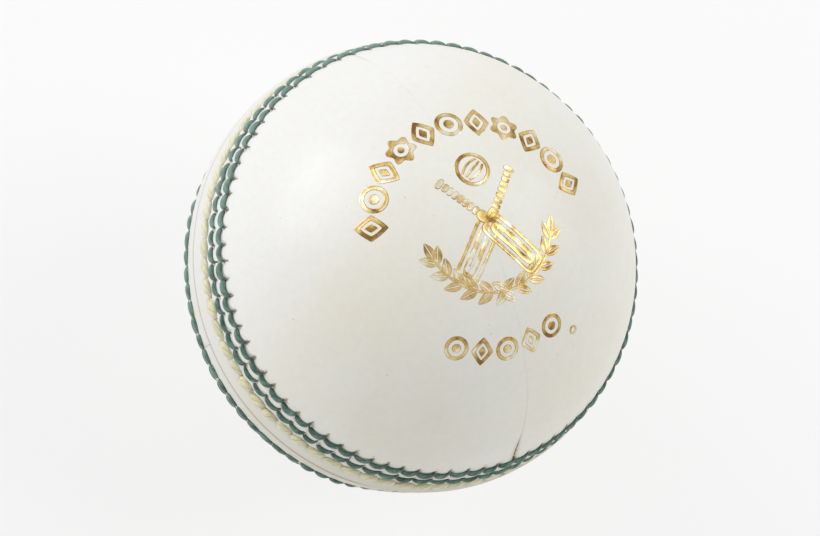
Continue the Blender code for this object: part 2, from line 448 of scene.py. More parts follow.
def mixColour(tree, factor, first, second, blend="MIX"):
    # The first colour blended with the second by a factor. The node takes its colours at sockets 6
    # and 7 and gives its own at 2; the others are for numbers and places.
    values = {0: factor, 6: first, 7: second}
    return addNode(tree, "ShaderNodeMix", values, data_type="RGBA", blend_type=blend).outputs[2]


def noise(tree, place, size, detail=3.0, roughness=0.5):
    # Fractal noise whose coarsest lumps are size millimetres across.
    values = {"Vector": place, "Scale": 1 / (size * mm), "Detail": detail, "Roughness": roughness}
    return addNode(tree, "ShaderNodeTexNoise", values).outputs["Fac"]


def cells(tree, place, size, feature="F1"):
    # Cells about size millimetres across, each with its colour or the distance to its wall.
    values = {"Vector": place, "Scale": 1 / (size * mm)}
    return addNode(tree, "ShaderNodeTexVoronoi", values, feature=feature).outputs


def ripple(tree, value, pitch):
    # Round ridges a pitch apart: the size of sin(pi value / pitch).
    turns = maths(tree, "MULTIPLY", value, math.pi / pitch)
    return maths(tree, "ABSOLUTE", maths(tree, "SINE", turns))


def emboss(tree, height, distance, strength, under=None):
    # A bump of a height times a distance in millimetres, laid over another bump if there is one.
    values = {"Height": height, "Distance": distance * mm, "Strength": strength}
    if under is not None:
        values["Normal"] = under
    return addNode(tree, "ShaderNodeBump", values).outputs[0]


def gradient(tree, place, way, span):
    # 0 to 1, smoothly, as the place's distance along a way goes from one end of the span to the other.
    values = {
        "Value": vectorMaths(tree, "DOT_PRODUCT", place, way),
        "From Min": span[0] * mm,
        "From Max": span[1] * mm,
    }
    return addNode(tree, "ShaderNodeMapRange", values, interpolation_type="SMOOTHSTEP").outputs["Result"]


leatherLook = {
    "neutralWhite": (0.780, 0.776, 0.760),
    "white": (0.785, 0.775, 0.715),
    "warm": (0.765, 0.745, 0.645),
    "cloudSize": 22,
    "creamSide": (0.497, -0.853, 0.154),  # way along which the colour goes from a slightly paler, neutral white to the cream clouding
    "creamFrom": (-22, -4),  # millimetres along that way between which it turns
    "speck": (0.50, 0.38, 0.12),
    # Beside the join: a tint of wax and dirt, and painted shade on one side.
    "soilAndShade": (0.68, 0.645, 0.55),
    # Brown at the needle holes: partly stain, partly painted shade.
    "holeStainAndShade": (0.30, 0.24, 0.12),
    "crack": (0.30, 0.22, 0.105),
    "flesh": (0.62, 0.50, 0.36),  # the side that was inside the hide
    "roughness": (0.34, 0.46),
    "poreSize": 0.42,
    "creaseSize": 2.4,
}


def leatherMaterial():
    # White lacquered cowhide: soft cream clouding, pores and fine creases in the bump, stray specks, a
    # tint of wax and dirt beside the join with painted shade over it on one side, brown in the needle
    # holes that is partly stain and partly painted shade, and brown along the open end of the quarter
    # seam. The suede inside is darker, from where the flesh attribute begins.
    look = leatherLook
    finish, tree, shader = newMaterial("whiteLeather")
    place = onObject(tree)
    patches = rise(tree, noise(tree, place, look["cloudSize"], 4, 0.55), 0.36, 0.66)
    colour = mixColour(tree, patches, look["white"], look["warm"])
    turnedCream = gradient(tree, place, look["creamSide"], look["creamFrom"])
    colour = mixColour(tree, turnedCream, look["neutralWhite"], colour)
    mottle = ramp(tree, noise(tree, place, 1.1, 5, 0.6), [(0.35, (0.97, 0.97, 0.965)), (0.65, (1, 1, 1))])
    colour = mixColour(tree, 1.0, colour, mottle, "MULTIPLY")
    specks = rise(tree, noise(tree, place, 0.75, 1, 0.5), 0.785, 0.80)
    colour = mixColour(tree, maths(tree, "MULTIPLY", specks, 0.45), colour, look["speck"])
    # Beside the join: a tint of wax and dirt all round, and painted shade on one side.
    soiledAndShaded = mixColour(tree, 1.0, colour, look["soilAndShade"], "MULTIPLY")
    colour = mixColour(tree, attribute(tree, "soilAndShade"), colour, soiledAndShaded)
    for name in ("holeStainAndShade", "crack", "flesh"):
        colour = mixColour(tree, attribute(tree, name), colour, look[name])
    low, high = look["roughness"]
    rough = addNode(tree, "ShaderNodeMapRange", {
        "Value": noise(tree, place, 5, 5, 0.6),
        "From Min": 0.35,
        "From Max": 0.65,
        "To Min": low,
        "To Max": high,
    })
    suede = maths(tree, "MULTIPLY", attribute(tree, "flesh"), 0.95)
    poreHeight = rise(tree, cells(tree, place, look["poreSize"], "DISTANCE_TO_EDGE")["Distance"], 0.0, 0.22)
    grain = emboss(tree, poreHeight, 0.010, 0.3)
    fill(tree, shader, {
        "Base Color": colour,
        "Roughness": maths(tree, "MAXIMUM", rough.outputs[0], suede),
        "Normal": emboss(tree, noise(tree, place, look["creaseSize"], 6, 0.62), 0.07, 0.4, grain),
        "Coat Weight": 0.18,
        "Coat Roughness": 0.3,
        "Specular IOR Level": 0.4,
    })
    return finish


# Colours of each thread. The furrow share darkens the grooves between strands and the end colour darkens
# the thread where it goes into a hole: both are painted shade.
threadLook = {
    "green": {
        "body": (0.050, 0.128, 0.100), "light": (0.150, 0.272, 0.220), "end": (0.012, 0.030, 0.022),
        "tip": (0.56, 0.47, 0.26), "furrow": 0.50, "strands": 3, "glareTint": (0.27, 0.41, 0.36),
        "mottle": ((0.45, 0.50, 0.48), (1.50, 1.38, 1.38)),
    },
    "cream": {
        "body": (0.635, 0.600, 0.385), "light": (0.750, 0.730, 0.535), "end": (0.300, 0.245, 0.095),
        "tip": (0.45, 0.38, 0.16), "furrow": 0.75, "strands": 4, "glareTint": (0.79, 0.77, 0.62),
        "mottle": ((0.84, 0.84, 0.80), (1.08, 1.07, 1.02)),
    },
}

# Painted glare: threads are paler on one side of the ball. The way to it, the millimetres along that
# way between which they pale, and how much of the pale colour they then take.
paintedGlare = {"way": (-0.20, 0.97, 0.10), "span": (6, 34), "share": 0.5}


def threadMaterial(name, look):
    # Waxed linen thread: strands that wind round it, read from its own UV map (u along it in
    # millimetres, v once round), with painted shade in the grooves between them, fibres on top,
    # painted shade where it goes down into the holes, painted glare that pales it towards one side of
    # the ball, and the undyed end of the under-thread at its tip.
    finish, tree, shader = newMaterial(name)
    place = addNode(tree, "ShaderNodeTexCoord").outputs["UV"]
    solid = onObject(tree)
    split = addNode(tree, "ShaderNodeSeparateXYZ", {"Vector": place}).outputs
    slant = maths(tree, "MULTIPLY", split["X"], 0.50)
    ply = ripple(tree, maths(tree, "ADD", maths(tree, "MULTIPLY", split["Y"], look["strands"]), slant), 1)
    fibreMap = addNode(tree, "ShaderNodeMapping", {"Vector": place, "Scale": (2.2, 26, 1)}).outputs[0]
    fibreNoise = {"Vector": fibreMap, "Scale": 1.0, "Detail": 4.0, "Roughness": 0.6}
    fibres = addNode(tree, "ShaderNodeTexNoise", fibreNoise).outputs["Fac"]
    tone = mixColour(tree, rise(tree, fibres, 0.34, 0.70), look["body"], look["light"])
    # Painted shade in the grooves between strands.
    furrow = tuple(look["furrow"] * part for part in look["body"])
    tone = mixColour(tree, ramp(tree, ply, [(0.0, (1,)), (0.40, (0,))]), tone, furrow)
    dark, pale = look["mottle"]
    dye = ramp(tree, noise(tree, solid, 1.6, 4, 0.6), [(0.34, dark), (0.66, pale)])
    tone = mixColour(tree, 1.0, tone, dye, "MULTIPLY")
    # Painted glare: paler towards one side of the ball.
    glareShare = gradient(tree, solid, paintedGlare["way"], paintedGlare["span"])
    tone = mixColour(tree, maths(tree, "MULTIPLY", glareShare, paintedGlare["share"]), tone, look["glareTint"])
    # Painted shade where the thread goes down into a hole.
    tone = mixColour(tree, attribute(tree, "end"), tone, look["end"])
    height = maths(tree, "ADD", ply, maths(tree, "MULTIPLY", fibres, 0.5))
    fill(tree, shader, {
        "Base Color": mixColour(tree, attribute(tree, "tip"), tone, look["tip"]),
        "Normal": emboss(tree, height, 0.06, 0.8),
        "Roughness": 0.52,
        "Specular IOR Level": 0.4,
        "Sheen Weight": 0.35,
        "Sheen Roughness": 0.45,
    })
    return finish


foilLook = {
    # Gold from dark brown to near white: painted highlights and dark reflections, chosen patch by patch.
    "tones": [
        (0.40, (0.30, 0.16, 0.04)), (0.46, (0.70, 0.48, 0.17)),
        (0.52, (0.87, 0.66, 0.30)), (0.57, (1.0, 0.95, 0.72)),
    ],
    # Painted shade along the pressed edges.
    "edge": (0.20, 0.10, 0.02),
    "roughness": (0.20, 0.42),
}


def foilMaterial():
    # Gold foil pressed on with a hot die: metallic, dimpled by the leather's grain beneath it, with
    # painted highlights and dark reflections in patches of its colour, and brown painted shade, broken
    # into patches, along its pressed edges.
    look = foilLook
    finish, tree, shader = newMaterial("goldFoil")
    place = onObject(tree)
    # Patches of painted highlight and dark reflection, small ones over large ones.
    glintPatches = maths(tree, "MULTIPLY", noise(tree, place, 2.2, 5, 0.62), 0.45)
    spread = maths(tree, "ADD", glintPatches, maths(tree, "MULTIPLY", noise(tree, place, 9, 2), 0.55))
    # The painted shade along the edges, broken into patches.
    shadePatches = ramp(tree, noise(tree, place, 1.6, 3), [(0.36, (0.35,)), (0.56, (1,))])
    edgeShade = maths(tree, "MULTIPLY", attribute(tree, "edge"), shadePatches)
    low, high = look["roughness"]
    rough = addNode(tree, "ShaderNodeMapRange", {
        "Value": noise(tree, place, 0.8, 3), "To Min": low, "To Max": high,
    })
    fill(tree, shader, {
        "Base Color": mixColour(tree, edgeShade, ramp(tree, spread, look["tones"]), look["edge"]),
        "Normal": emboss(tree, noise(tree, place, 0.6, 4, 0.6), 0.05, 0.6),
        "Roughness": rough.outputs[0],
        "Metallic": 0.9,
    })
    return finish


coreLook = {
    "linen": {"warp": (0.70, 0.62, 0.47), "weft": (0.58, 0.50, 0.36), "pitch": 0.45, "reach": 32.6},
    "yarn": {"body": (0.52, 0.43, 0.31), "light": (0.68, 0.59, 0.45), "pitch": 1.3},
    "cork": {
        "body": (0.50, 0.32, 0.17), "light": (0.64, 0.45, 0.27), "dark": (0.20, 0.10, 0.04), "grain": 1.6,
    },
    "corkRubber": {
        "body": (0.10, 0.075, 0.055), "light": (0.45, 0.28, 0.15), "dark": (0.04, 0.03, 0.02), "grain": 2.1,
    },
    # The furrow colour is painted shade in the grooves between strands.
    "underThread": {"furrow": (0.45, 0.39, 0.24), "light": (0.70, 0.65, 0.46), "pitch": 0.5},
}


def linenMaterial():
    # Plain weave: warp runs with the height above the join, weft with the azimuth, and each goes
    # over and under as the product of their waves.
    look = coreLook["linen"]
    finish, tree, shader = newMaterial("backingLinen")
    place = onObject(tree)
    split = addNode(tree, "ShaderNodeSeparateXYZ", {"Vector": place}).outputs
    azimuth = maths(tree, "ARCTAN2", split["Y"], split["X"])
    waves = math.pi / (look["pitch"] * mm)
    up = maths(tree, "SINE", maths(tree, "MULTIPLY", split["Z"], waves))
    around = maths(tree, "SINE", maths(tree, "MULTIPLY", azimuth, round(look["reach"] * mm * waves)))
    over = maths(tree, "MULTIPLY", up, around)
    fibres = noise(tree, place, 0.25, 4, 0.6)
    onTop = rise(tree, maths(tree, "ADD", maths(tree, "MULTIPLY", over, 0.5), 0.5), 0.3, 0.7)
    shade = ramp(tree, fibres, [(0.3, (0.82, 0.82, 0.80)), (0.7, (1.1, 1.1, 1.1))])
    tone = mixColour(tree, 1.0, mixColour(tree, onTop, look["weft"], look["warp"]), shade, "MULTIPLY")
    height = maths(tree, "ADD", maths(tree, "ABSOLUTE", over), maths(tree, "MULTIPLY", fibres, 0.4))
    fill(tree, shader, {
        "Base Color": tone,
        "Normal": emboss(tree, height, 0.10, 0.8),
        "Roughness": 0.92,
        "Sheen Weight": 0.15,
    })
    return finish


def yarnMaterial():
    # Worsted yarn wound in every direction: in each patch of the ball the turns run one way, and
    # a wave across them gives the round of each turn, in the bump and as painted shade in the grooves
    # with painted light on each turn's crown.
    look = coreLook["yarn"]
    finish, tree, shader = newMaterial("woundYarn")
    place = onObject(tree)
    bend = addNode(tree, "ShaderNodeTexNoise", {"Vector": place, "Scale": 1 / (14 * mm), "Detail": 1.0})
    shift = vectorMaths(tree, "MULTIPLY", bend.outputs["Color"], (0.012, 0.012, 0.012))
    way = vectorMaths(tree, "SUBTRACT", cells(tree, place, 11)["Color"], (0.5, 0.5, 0.5))
    across = vectorMaths(tree, "NORMALIZE", way)
    along = vectorMaths(tree, "DOT_PRODUCT", vectorMaths(tree, "ADD", place, shift), across)
    strand = ripple(tree, along, look["pitch"] * mm)
    fuzz = noise(tree, place, 0.35, 5, 0.65)
    # Painted shade in the grooves between turns and painted light on their crowns.
    tone = mixColour(tree, strand, tuple(0.45 * part for part in look["body"]), look["light"])
    height = maths(tree, "ADD", strand, maths(tree, "MULTIPLY", fuzz, 0.35))
    fill(tree, shader, {
        "Base Color": mixColour(tree, rise(tree, fuzz, 0.35, 0.65), tone, look["body"]),
        "Normal": emboss(tree, height, 0.35, 0.9),
        "Roughness": 0.95,
        "Sheen Weight": 0.3,
    })
    return finish


def corkMaterial(name, look, rough):
    # Pressed granules: cells of slightly different browns with dark seams between them and pits.
    finish, tree, shader = newMaterial(name)
    place = onObject(tree)
    granules = cells(tree, place, look["grain"])["Color"]
    seams = cells(tree, place, look["grain"], "DISTANCE_TO_EDGE")["Distance"]
    shade = addNode(tree, "ShaderNodeSeparateXYZ", {"Vector": granules}).outputs["X"]
    tone = mixColour(tree, shade, look["body"], look["light"])
    between = ramp(tree, seams, [(0.02, (1,)), (0.14, (0,))])
    tone = mixColour(tree, maths(tree, "MULTIPLY", between, 0.8), tone, look["dark"])
    pits = rise(tree, noise(tree, place, 0.7, 4, 0.6), 0.58, 0.66)
    tone = mixColour(tree, maths(tree, "MULTIPLY", pits, 0.6), tone, look["dark"])
    sunk = maths(tree, "SUBTRACT", 1.0, maths(tree, "MAXIMUM", between, pits))
    fill(tree, shader, {"Base Color": tone, "Normal": emboss(tree, sunk, 0.15, 0.8), "Roughness": rough})
    return finish


def underThreadMaterial():
    # Undyed thread behind the leather: slanting strands, a sine of the sum of the coordinates,
    # with painted shade in the grooves between them and fine fibres over them.
    look = coreLook["underThread"]
    finish, tree, shader = newMaterial("underThread")
    place = onObject(tree)
    strand = ripple(tree, vectorMaths(tree, "DOT_PRODUCT", place, (1, 1, 1)), look["pitch"] * mm)
    fibres = noise(tree, place, 0.2, 4, 0.6)
    # Painted shade in the grooves between strands.
    tone = mixColour(tree, strand, look["furrow"], look["light"])
    shade = ramp(tree, fibres, [(0.3, (0.85, 0.85, 0.85)), (0.7, (1.05, 1.05, 1.05))])
    height = maths(tree, "ADD", strand, maths(tree, "MULTIPLY", fibres, 0.4))
    fill(tree, shader, {
        "Base Color": mixColour(tree, 1.0, tone, shade, "MULTIPLY"),
        "Normal": emboss(tree, height, 0.08, 0.8),
        "Roughness": 0.8,
    })
    return finish


finishes = {
    "leather": leatherMaterial(),
    "green": threadMaterial("greenThread", threadLook["green"]),
    "cream": threadMaterial("creamThread", threadLook["cream"]),
    "foil": foilMaterial(),
    "linen": linenMaterial(),
    "yarn": yarnMaterial(),
    "cork": corkMaterial("mouldedCork", coreLook["cork"], 0.9),
    "corkRubber": corkMaterial("corkAndRubber", coreLook["corkRubber"], 0.8),
    "underThread": underThreadMaterial(),
}
print("materials made")

# Which finish each hidden piece of the frame takes, by the start of its name.
hiddenFinishes = {
    "backing_strip": "linen",
    "outer_winding": "yarn",
    "middle_winding": "yarn",
    "inner_winding": "yarn",
    "outer_cork": "cork",
    "inner_cork": "cork",
    "core_nucleus": "corkRubber",
    "inner_bobbin": "underThread",
    "outer_bobbin": "underThread",
    "quarter_thread": "underThread",
}


def finishHidden():
    # The pieces inside the case keep their own shapes and take their finish here.
    for name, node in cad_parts.items():
        for start, finish in hiddenFinishes.items():
            if name.startswith(start):
                node.data.materials.clear()
                node.data.materials.append(finishes[finish])


finishHidden()
print("hidden pieces finished")

quarters = {
    "leather_quarter_upper_right": {"side": 1, "start": -0.25, "ends": ("stampedOpen", "stampedClosed")},
    "leather_quarter_upper_left": {"side": 1, "start": 0.25, "ends": ("stampedClosed", "stampedOpen")},
    "leather_quarter_lower_back": {"side": -1, "start": 0.0, "ends": ("plainOpen", "plainClosed")},
    "leather_quarter_lower_front": {"side": -1, "start": 0.5, "ends": ("plainClosed", "plainOpen")},
}

# Rows of the leather's grid are close together at the join and across the stitching and open
# towards the crown; its columns crowd beside the two quarter seams.
leatherGrid = {
    "columns": 420,
    "besideSeam": (0, 0.0004, 0.001, 0.002),  # shares of the half turn
    "field": (0.0035, 0.9965),
    "rim": (0, 0.05, 0.12, 0.22, 0.36, 0.55, 0.8),  # arcs of the first rows
    "bands": ((1.1, 3.0, 0.35), (3.0, 12.3, 0.19), (12.4, 19, 0.38)),  # arcs from, to and step
    "crownRows": 28,
    "crownFrom": 19.2,
    "crownShort": 0.35,  # how far from the crown the last row stops
    "crownPower": 1.05,
    "seamPull": 6,  # power with which a seam's wander dies away over the quarter
}

# The strip beside the join is darker and yellower, from a tint of wax and dirt all round the ball and
# painted shade on one side: the azimuth of that side's middle and how far it reaches round, in degrees,
# the share of it found all round the ball, and the arcs between which it dies away. The line at the
# join itself is dark: how much, its width elsewhere, and what painted shade on that side adds to it.
soilAndShading = {
    "middle": -95, "reach": 45, "everywhere": 0.22, "arcs": (3.0, 6.8), "line": (0.80, 0.14, 0.55),
}


def gridLines():
    # Arcs of the grid's rows, and shares of the half turn of its columns.
    values, start = leatherGrid, leatherGrid["crownFrom"]
    spread = np.linspace(0, 1, values["crownRows"]) ** values["crownPower"]
    crown = start + (toCrown - values["crownShort"] - start) * spread
    arcs = np.concatenate([values["rim"], *(np.arange(*span) for span in values["bands"]), crown])
    beside = np.array(values["besideSeam"])
    field = np.linspace(*values["field"], values["columns"] - 2 * len(beside))
    return arcs, np.concatenate([beside, field, 1 - beside[::-1]])


def quarterSkins(values, arcs, shares):
    # The outer skin is leatherLift over the sphere, the inner one lies a leather's thickness below
    # and both leave half the gap of each quarter seam free along its wandering line. It returns
    # the points of both, then of their two middles at the crown, and what the finish reads outside.
    side = values["side"]
    arc, share = np.meshgrid(arcs, shares, indexing="ij")
    reach = ball["radius"] * np.cos(arc / ball["radius"])
    middle = fullTurn * (values["start"] + 0.25)
    ends = values["ends"]
    openings = [seamOpening(end, arc) for end in ends]
    pulls = [np.clip(way * (1 - 2 * share), 0, 1) ** leatherGrid["seamPull"] for way in (1, -1)]
    opening = openings[0] * pulls[0] + openings[1] * pulls[1]
    shut, gaping = crackShape["halfGap"]
    size, one, other = crackShape["gapWaves"]
    gap = shut + gaping * opening * (1 + size * np.sin(arc * one) * np.sin(arc * other))
    shift = (seamWander(ends[0], arc) + gap) * pulls[0] + (seamWander(ends[1], arc) - gap) * pulls[1]
    azimuth = middle + (share - 0.5) * math.pi + shift / reach
    lift, holeStainAndShade = leatherLift(azimuth, arc, side)
    depth, width = ball["quarterRounding"]
    toEdge = np.minimum(share, 1 - share) * math.pi * reach
    nearEdge = np.where(share < 0.5, *openings)
    shut, gaping = crackShape["rounding"]
    lift = lift - depth * (shut + gaping * nearEdge) * np.exp(-toEdge / width)
    dark, shut, gaping = crackShape["dark"]
    crack = dark * nearEdge * np.exp(-toEdge / (shut + gaping * nearEdge))
    # Painted shade on one side of the ball: it darkens the strip beside the join over a tint of wax and
    # dirt found all round, and widens the dark line at the join.
    soiledAndShaded = bump(turnFrom(azimuth, soilAndShading["middle"]), math.radians(soilAndShading["reach"]))
    dark, clean, shadedWidth = soilAndShading["line"]
    crack = np.maximum(crack, dark * np.exp(-arc / (clean + shadedWidth * soiledAndShaded)))
    everywhere = soilAndShading["everywhere"]
    soilAndShade = (everywhere + (1 - everywhere) * soiledAndShaded) * (1 - smoothStep(arc, *soilAndShading["arcs"]))
    full = smoothStep(arc, *ball["paredEnd"])
    channel = np.exp(-((toEdge / ball["channelWidth"]) ** 4)) * full
    thickness = ball["paredThickness"] + (ball["crownThickness"] - ball["paredThickness"]) * full
    places = (azimuth, side * np.maximum(arc, ball["joinGap"]))
    crown = (np.array([middle]), np.array([side * toCrown]))
    points = np.concatenate([
        onBall(*places, lift).reshape(-1, 3),
        onBall(*places, ball["channelDepth"] * channel - thickness).reshape(-1, 3),
        onBall(*crown, lift[-1].mean()),
        onBall(*crown, ball["channelDepth"] - ball["crownThickness"]),
    ])
    return points, {"holeStainAndShade": holeStainAndShade, "crack": crack, "soilAndShade": soilAndShade}


def quarterFaces(rows, columns, flip):
    # Quads of the outer and of the inner skin, strips over the two seams' edges and the join's, fans
    # to the two middles at the crown, and two quads that close the seams' edges there.
    count = rows * columns
    along = np.arange(rows - 1) * columns
    j = np.arange(columns - 1)
    top = count - columns + j
    firstEdge = np.stack([along, along + columns, along + columns + count, along + count], axis=1)
    joinEdge = np.stack([j + count, j + 1 + count, j + 1, j], axis=1)
    crownFan = np.stack([top, top + 1, np.full_like(top, 2 * count)], axis=1)
    innerFan = np.stack([top + 1 + count, top + count, np.full_like(top, 2 * count + 1)], axis=1)
    closing = np.array([
        [count - columns, 2 * count, 2 * count + 1, 2 * count - columns],
        [2 * count, count - 1, 2 * count - 1, 2 * count + 1],
    ])
    skin = gridFaces(rows, columns)
    parts = [skin, skin[:, ::-1] + count, firstEdge, firstEdge[:, ::-1] + columns - 1]
    parts += [joinEdge, crownFan, innerFan, closing]
    return [face for part in parts for face in (part[:, ::-1] if flip else part).tolist()]


def quarterPiece(name, values):
    # Two skins over one grid of columns round half a turn, closed into a shell.
    arcs, shares = gridLines()
    points, marks = quarterSkins(values, arcs, shares)
    faces = quarterFaces(len(arcs), len(shares), values["side"] < 0)
    piece = makeObject(
        name.replace("leather_quarter", "leather"), points, faces, [finishes["leather"]],
        replaces=[name],
    )
    count = len(arcs) * len(shares)
    for mark, outside in marks.items():
        setAttribute(piece, mark, np.concatenate([outside.ravel(), np.zeros(count + 2)]))
    setAttribute(piece, "flesh", np.concatenate([np.zeros(count), np.ones(count), [0, 1]]))


for name, values in quarters.items():
    quarterPiece(name, values)
print("leather quarters made")

stitch = {
    "rings": 13,
    "sides": 8,
    "crowding": 0.85,  # power of the rings' spacing
    "jitter": 0.15,  # of the width; half of it for the length and nine tenths for the sway
    "tipJitter": 0.2,
    "liftJitter": 0.02,
    "strands": 3,
    "strandRelief": 0.035,
    "strandTurn": 2.6,  # radians in a millimetre
    "paleTo": {"hook": 1, "leaf": 0},  # whether the undyed end shows at the tip
}


def stitchRow(name, row):
    # An oval section carried along every stitch's path. The path is laid on the leather round the
    # row, and the section stands square to it. Strands are a ripple of the section's size that
    # turns slowly along the thread.
    rng = np.random.default_rng(row["seed"])
    count, rings, sides, jitter = row["count"], stitch["rings"], stitch["sides"], stitch["jitter"]
    shares = np.linspace(0, 1, rings) ** stitch["crowding"]
    path, across, wide, high, raised = np.moveaxis(stationAt(row["style"], shares), -1, 0)
    length = rng.normal(1, jitter * 0.5, (count, 1))
    width = rng.normal(1, jitter, (count, 1)) * row["size"]
    sway = rng.normal(0, jitter * 0.9, (count, 1))
    tip = rng.normal(1, stitch["tipJitter"], (count, 1))
    along = np.arange(count)[:, None] + path * length / stylePitch[row["style"]]
    arc = row["arc"] + (across * row["size"] * (1 + (tip - 1) * smoothStep(shares, 0.7, 1.0)) + sway)
    azimuth = rowAzimuth(along, row)
    lift = ridge(arc) + row["lift"] + raised + rng.normal(0, stitch["liftJitter"], (count, 1))
    lift = lift - rowSeat(azimuth, row)
    if row["side"] < 0:
        lift = lift - lowSide(azimuth, arc)
    middle = onBall(azimuth, row["side"] * arc, lift)
    upward = unit(middle)
    sideways = unit(np.cross(upward, unit(np.gradient(middle, axis=1))))
    turn = np.linspace(0, fullTurn, sides, endpoint=False)
    twist = stitch["strands"] * turn + path[:, None] * stitch["strandTurn"]
    swell = 1 + stitch["strandRelief"] * np.cos(twist + rng.uniform(0, fullTurn, (count, 1, 1)))
    halfWidth = wide * width
    halfHeight = high * np.minimum(0.6 + 0.4 * width, 0.6 + 0.45 * row["size"])
    points = (
        middle[:, :, None]
        + sideways[:, :, None] * (halfWidth[..., None] * np.cos(turn) * swell)[..., None]
        + upward[:, :, None] * (halfHeight[..., None] * np.sin(turn) * swell)[..., None]
    )
    ends = np.stack([middle[:, 0], middle[:, -1]], axis=1)
    piece = makeObject(
        name + "_stitches", np.concatenate([points.reshape(-1, 3), ends.reshape(-1, 3)]),
        stitchFaces(count, rings, sides), [finishes[row["thread"]]],
        replaces=[name],
    )

    def everyPoint(values, atEnds=0.0):
        # Values by stitch, ring and side, then one for the two points that close each stitch.
        spread = np.broadcast_to(values, (count, rings, sides)).ravel()
        return np.concatenate([spread, np.full(2 * count, atEnds)])

    # How much painted shade each ring takes where the thread goes into a hole, near both ends of a stitch;
    # the points that close it take nearly all.
    dark = 0.75 * np.clip(1 - shares / 0.2, 0, 1) + np.clip((shares - 0.62) / 0.2, 0, 0.85)
    if row["style"] == "leaf":
        dark = 0.8 * np.clip(1 - shares / 0.22, 0, 1) + 0.85 * np.clip((shares - 0.84) / 0.16, 0, 1)
    pale = stitch["paleTo"][row["style"]] * np.clip((shares - 0.90) / 0.08, 0, 1)
    setAttribute(piece, "end", np.clip(everyPoint(dark[:, None], 0.9), 0, 1))
    setAttribute(piece, "tip", np.clip(everyPoint(pale[:, None], pale[-1]), 0, 1))
    u = path[:, None] + np.arange(count)[:, None, None] * 1.37
    setUv(piece, everyPoint(u), everyPoint(turn / fullTurn))


def stitchFaces(count, rings, sides):
    # Quads round every tube, then a fan of triangles over each of its two ends.
    start = np.arange(count)[:, None] * rings * sides
    lastRing = start + (rings - 1) * sides
    cap = count * rings * sides + 2 * np.arange(count)[:, None]
    j = np.arange(sides)
    following = (j + 1) % sides
    faces = (gridFaces(rings, sides, wrapColumns=True) + start[..., None]).reshape(-1, 4).tolist()
    for fan in ((start + following, start + j, cap), (lastRing + j, lastRing + following, cap + 1)):
        faces += np.stack(np.broadcast_arrays(*fan), axis=-1).reshape(-1, 3).tolist()
    return faces


def readAll(items, name):
    # A whole number that a mesh keeps for each of its items.
    found = np.zeros(len(items), np.int32)
    items.foreach_get(name, found)
    return found


def setUv(piece, u, v):
    # u and v of each point, with v carried past 1 where a face closes the turn.
    mesh = piece.data
    corners = readAll(mesh.loops, "vertex_index")
    totals = readAll(mesh.polygons, "loop_total")
    face = np.repeat(np.arange(len(totals)), totals)
    cornerV = v[corners]
    highest = np.zeros(len(totals))
    np.maximum.at(highest, face, cornerV)
    cornerV = np.where((highest[face] > 0.75) & (cornerV < 0.25), cornerV + 1, cornerV)
    layer = mesh.uv_layers.new(name="along")
    layer.data.foreach_set("uv", np.stack([u[corners], cornerV], axis=1).astype(np.float32).ravel())


for name, row in seamRows.items():
    stitchRow(name, row)
print("stitch rows made")

waxBead = {
    "azimuth": math.radians(171.4), "arc": -0.5, "length": 0.75, "width": 0.42, "height": 0.16,
    "sunk": 0.10, "sides": 24, "rings": 8, "topShare": 0.9,
}


def waxMaterial():
    # Dried beeswax from the thread: dull yellow, clouded.
    finish, tree, shader = newMaterial("driedWax")
    cloud = noise(tree, onObject(tree), 0.4, 3)
    tones = [(0.35, (0.72, 0.62, 0.34)), (0.65, (0.82, 0.76, 0.52))]
    fill(tree, shader, {"Base Color": ramp(tree, cloud, tones), "Roughness": 0.55})
    return finish


def beadOfWax():
    # A low dome on the join: a quarter circle of rings up to a small flat top, wavy round its foot
    # as two sines, sunk a little in the leather.
    sides, rings = waxBead["sides"], waxBead["rings"]
    around = np.linspace(0, fullTurn, sides, endpoint=False)
    turn, climb = np.meshgrid(around, np.linspace(0, waxBead["topShare"], rings))
    wave = 1 + 0.16 * np.sin(2 * turn + 0.7) + 0.10 * np.sin(5 * turn)
    spread = np.cos(climb * math.pi / 2) * wave
    arc = waxBead["arc"] + waxBead["width"] * spread * np.sin(turn)
    azimuth = waxBead["azimuth"] + waxBead["length"] * spread * np.cos(turn) / ball["radius"]
    lift = ridge(np.abs(arc)) - waxBead["sunk"] + waxBead["height"] * np.sin(climb * math.pi / 2)
    foot = np.arange(sides)[::-1].tolist()
    top = (np.arange(sides) + (rings - 1) * sides).tolist()
    faces = gridFaces(rings, sides, wrapColumns=True).tolist() + [foot, top]
    makeObject("wax_bead", onBall(azimuth, arc, lift), faces, [waxMaterial()])


beadOfWax()
print("wax bead made")

# The stamp is laid out on a flat sheet whose middle is the crown: x to the right of the way it is
# read and y up, in millimetres, which become arcs over the ball from the crown.
stamp = {
    "up": math.radians(82.7),  # azimuth of the way up
    "lift": 0.006,
    "edgeDrop": 0.045,  # how far the foil's edges are pressed in
    "upperArc": {
        "middle": 90, "way": -1, "radius": 18.0, "spread": 152, "count": 11, "size": 2.75,
        "kinds": ("lozenge", "roundel", "lozenge", "rosette"),
    },
    "lowerArc": {
        "middle": 270, "way": 1, "radius": 19.4, "spread": 52, "count": 5, "size": 2.35,
        "kinds": ("roundel", "lozenge"),
    },
    "dot": {"radius": 23.2, "turn": 34.5, "size": 0.8},
    "crossing": (0.6, 0.6),  # where the bats cross
    "ballPlace": (0.6, 9.4),
    "ballRadii": (2.9, 2.2),
    "pin": 0.02,  # radius at which a solid shape's middle is closed
    "rim": 0.20,  # width of the bright line along a shape's edge
}


